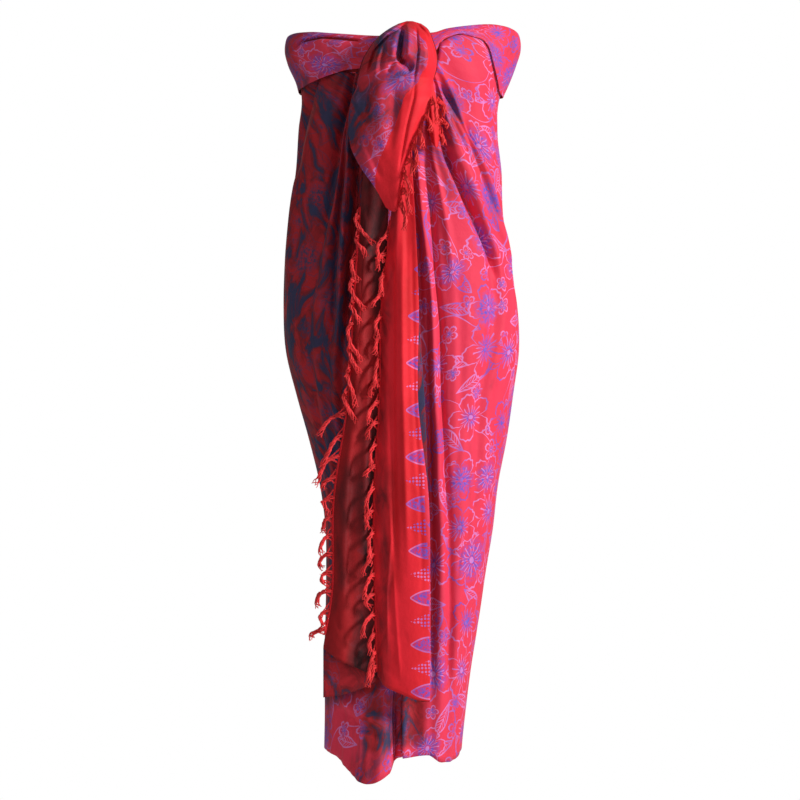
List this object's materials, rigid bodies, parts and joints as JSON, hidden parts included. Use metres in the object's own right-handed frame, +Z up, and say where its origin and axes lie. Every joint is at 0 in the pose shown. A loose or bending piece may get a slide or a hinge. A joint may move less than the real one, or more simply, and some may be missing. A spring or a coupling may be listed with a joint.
{
  "type": "sarong",
  "caption": "Batik sarong wound round the figure as a strapless wrap dress, top edge turned down, knotted at the front, with fringed ends hanging below the knot.",
  "frame": {"origin": "middle of the figure at the height where the bust carries the band, 55 mm below the top edge at the sides", "axes": "+Z up, +X to the right in the front view, -Y towards the front"},
  "size_m": [0.3593, 0.2996, 1.1408],
  "materials": {
    "cloth": "matte",
    "cloth_dark": "matte",
    "cloth_reverse": "matte",
    "fringe": "matte"
  },
  "bodies": {
    "root": {"back": "cloth", "front_left": "cloth_dark", "front_right": "cloth", "top_band": "cloth", "knot": "cloth", "front_tail": "cloth", "short_tail": "cloth", "right_fall": "cloth", "left_fall": "cloth_reverse", "front_tail_fringe": "fringe", "short_tail_fringe": "fringe", "right_fall_fringe": "fringe", "left_fall_fringe": "fringe"}
  },
  "joints": []
}
